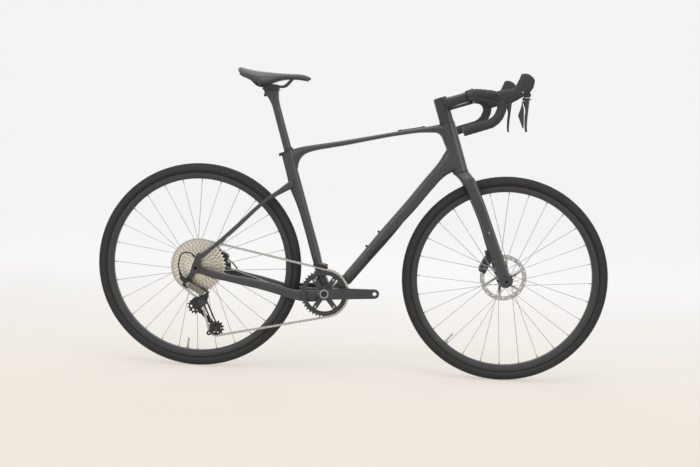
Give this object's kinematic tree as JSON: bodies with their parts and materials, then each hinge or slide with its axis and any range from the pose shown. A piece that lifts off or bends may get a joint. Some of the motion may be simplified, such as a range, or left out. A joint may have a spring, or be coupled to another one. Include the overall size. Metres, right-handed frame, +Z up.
{
  "type": "gravel bike",
  "caption": "Drop-bar gravel bike with slim moulded frame and fork, wide knobbed tyres, disc brakes, single chainring and wide cassette, shown without pedals.",
  "frame": {"origin": "on the ground, midway between the wheel axles, in the plane of symmetry", "axes": "+X forward, +Y to the rider's left, +Z up"},
  "size_m": [1.745, 0.495, 1.0318],
  "materials": {
    "frame_paint": "matt anthracite",
    "black_alloy": "black anodised",
    "black_soft": "soft matt black",
    "black_plastic": "satin black",
    "tyre": "black rubber",
    "wheel_alloy": "black anodised",
    "steel": "brushed"
  },
  "bodies": {
    "frame": {"frame": "frame_paint", "chainstays": "frame_paint", "seatstays": "frame_paint", "derailleur_hanger": "black_alloy", "frame_guards": "black_soft", "bottle_bosses": "steel", "seat_clamp": "black_alloy", "bottom_bracket": "steel", "headset_bearings": "steel", "rear_axle": "steel", "rear_caliper": "black_alloy", "rear_cables": "black_soft", "chain": "steel", "derailleur_body": "black_alloy"},
    "seatpost": {"seatpost": "black_alloy", "saddle_clamp": "black_alloy"},
    "saddle": {"saddle_cover": "black_soft", "saddle_base": "black_plastic"},
    "front_end": {"fork": "frame_paint", "headset_stack": "frame_paint", "stem": "frame_paint", "stem_faceplate": "frame_paint", "handlebar": "black_alloy", "bar_tape": "black_soft", "lever_brackets": "black_plastic", "left_hood": "black_soft", "right_hood": "black_soft", "cockpit_hoses": "black_soft", "front_axle": "steel", "front_caliper": "black_alloy"},
    "front_wheel": {"front_tyre": "tyre", "front_rim": "wheel_alloy", "front_spokes": "steel", "front_hub": "wheel_alloy", "front_rotor": "steel"},
    "rear_wheel": {"rear_tyre": "tyre", "rear_rim": "wheel_alloy", "rear_spokes": "steel", "rear_hub": "wheel_alloy", "rear_rotor": "steel"},
    "cassette": {"cassette": "steel", "freehub": "steel"},
    "crank": {"right_crank": "black_alloy", "left_crank": "black_alloy", "chainring": "black_alloy", "chainring_bolts": "steel"},
    "right_lever_yoke": {"right_lever_yoke": "black_plastic"},
    "right_brake_lever": {"right_brake_lever": "black_plastic"},
    "right_shift_lever": {"right_shift_lever": "black_plastic"},
    "left_brake_lever": {"left_brake_lever": "black_plastic"},
    "outer_link": {"outer_link": "black_alloy"},
    "inner_link": {"inner_link": "black_alloy"},
    "knuckle": {"knuckle": "black_alloy"},
    "cage": {"cage": "steel"},
    "guide_pulley": {"guide_pulley": "black_plastic"},
    "tension_pulley": {"tension_pulley": "black_plastic"},
    "front_pad_left": {"front_pad_left": "steel"},
    "front_pad_right": {"front_pad_right": "steel"},
    "rear_pad_left": {"rear_pad_left": "steel"},
    "rear_pad_right": {"rear_pad_right": "steel"}
  },
  "joints": [
    {"name": "steering", "type": "hinge", "parent": "frame", "child": "front_end", "pos_m": [0.3, 0, 0.868], "axis": [-0.3173, 0, 0.9483], "range_deg": [-60, 60]},
    {"name": "front_wheel_spin", "type": "hinge", "parent": "front_end", "child": "front_wheel", "pos_m": [0.5225, 0, 0.35], "axis": [0, 1, 0], "continuous": true},
    {"name": "rear_wheel_spin", "type": "hinge", "parent": "frame", "child": "rear_wheel", "pos_m": [-0.5225, 0, 0.35], "axis": [0, 1, 0], "continuous": true},
    {"name": "crank_spin", "type": "hinge", "parent": "frame", "child": "crank", "pos_m": [-0.0874, 0, 0.28], "axis": [0, 1, 0], "continuous": true, "deforming": ["chain"]},
    {"name": "cassette_spin", "type": "hinge", "parent": "frame", "child": "cassette", "pos_m": [-0.5225, 0, 0.35], "axis": [0, 1, 0], "continuous": true},
    {"name": "guide_pulley_spin", "type": "hinge", "parent": "cage", "child": "guide_pulley", "pos_m": [-0.5297, 0, 0.2101], "axis": [0, 1, 0], "continuous": true},
    {"name": "tension_pulley_spin", "type": "hinge", "parent": "cage", "child": "tension_pulley", "pos_m": [-0.4561, 0, 0.1371], "axis": [0, 1, 0], "continuous": true},
    {"name": "derailleur_shift", "type": "hinge", "parent": "frame", "child": "outer_link", "pos_m": [-0.5455, -0.078, 0.293], "axis": [-0.5848, 0, -0.8112], "range_deg": [0, 45], "stiffness_Nm_per_rad": 0.4, "springref_deg": -17.19},
    {"name": "inner_link_swing", "type": "hinge", "parent": "frame", "child": "inner_link", "pos_m": [-0.5455, -0.062, 0.293], "axis": [-0.5848, 0, -0.8112], "range_deg": [0, 45]},
    {"name": "knuckle_level", "type": "hinge", "parent": "outer_link", "child": "knuckle", "pos_m": [-0.5025, -0.05328, 0.262], "axis": [-0.5848, 0, -0.8112], "range_deg": [-45, 0]},
    {"name": "cage_pivot", "type": "hinge", "parent": "knuckle", "child": "cage", "pos_m": [-0.5025, -0.04, 0.23], "axis": [0, -1, 0], "range_deg": [0, 35], "stiffness_Nm_per_rad": 0.5, "springref_deg": -51.57},
    {"name": "right_brake_pull", "type": "hinge", "parent": "front_end", "child": "right_lever_yoke", "pos_m": [0.5155, -0.21, 0.972], "axis": [0, 1, 0], "range_deg": [0, 20], "stiffness_Nm_per_rad": 0.8, "springref_deg": -17.19},
    {"name": "right_blade_swing", "type": "hinge", "parent": "right_lever_yoke", "child": "right_brake_lever", "pos_m": [0.5265, -0.212, 0.952], "axis": [1, 0, 0], "range_deg": [0, 12], "stiffness_Nm_per_rad": 0.4, "springref_deg": -17.19},
    {"name": "right_shift_swing", "type": "hinge", "parent": "right_lever_yoke", "child": "right_shift_lever", "pos_m": [0.5205, -0.212, 0.952], "axis": [1, 0, 0], "range_deg": [0, 18], "stiffness_Nm_per_rad": 0.2, "springref_deg": -17.19},
    {"name": "left_brake_pull", "type": "hinge", "parent": "front_end", "child": "left_brake_lever", "pos_m": [0.5155, 0.21, 0.972], "axis": [0, 1, 0], "range_deg": [0, 20], "stiffness_Nm_per_rad": 0.8, "springref_deg": -17.19},
    {"name": "front_pad_left_push", "type": "slide", "parent": "front_end", "child": "front_pad_left", "axis": [0, -1, 0], "range_m": [0, 0.0004]},
    {"name": "front_pad_right_push", "type": "slide", "parent": "front_end", "child": "front_pad_right", "axis": [0, 1, 0], "range_m": [0, 0.0004]},
    {"name": "rear_pad_left_push", "type": "slide", "parent": "frame", "child": "rear_pad_left", "axis": [0, -1, 0], "range_m": [0, 0.0004]},
    {"name": "rear_pad_right_push", "type": "slide", "parent": "frame", "child": "rear_pad_right", "axis": [0, 1, 0], "range_m": [0, 0.0004]},
    {"name": "seatpost_height", "type": "slide", "parent": "frame", "child": "seatpost", "axis": [-0.2924, 0, 0.9563], "range_m": [-0.03, 0.04]},
    {"name": "saddle_setback", "type": "slide", "parent": "seatpost", "child": "saddle", "axis": [1, 0, 0], "range_m": [-0.01, 0.01]}
  ],
  "couplings": [
    {"joint": "cassette_spin", "follows": "crank_spin", "ratio": 0.88889},
    {"joint": "guide_pulley_spin", "follows": "crank_spin", "ratio": -3.0769},
    {"joint": "tension_pulley_spin", "follows": "crank_spin", "ratio": 3.0769},
    {"joint": "inner_link_swing", "follows": "derailleur_shift", "ratio": 1},
    {"joint": "knuckle_level", "follows": "derailleur_shift", "ratio": -1},
    {"joint": "front_pad_left_push", "follows": "left_brake_pull", "m_per_rad": 0.0011459},
    {"joint": "front_pad_right_push", "follows": "left_brake_pull", "m_per_rad": 0.0011459},
    {"joint": "rear_pad_left_push", "follows": "right_brake_pull", "m_per_rad": 0.0011459},
    {"joint": "rear_pad_right_push", "follows": "right_brake_pull", "m_per_rad": 0.0011459}
  ]
}
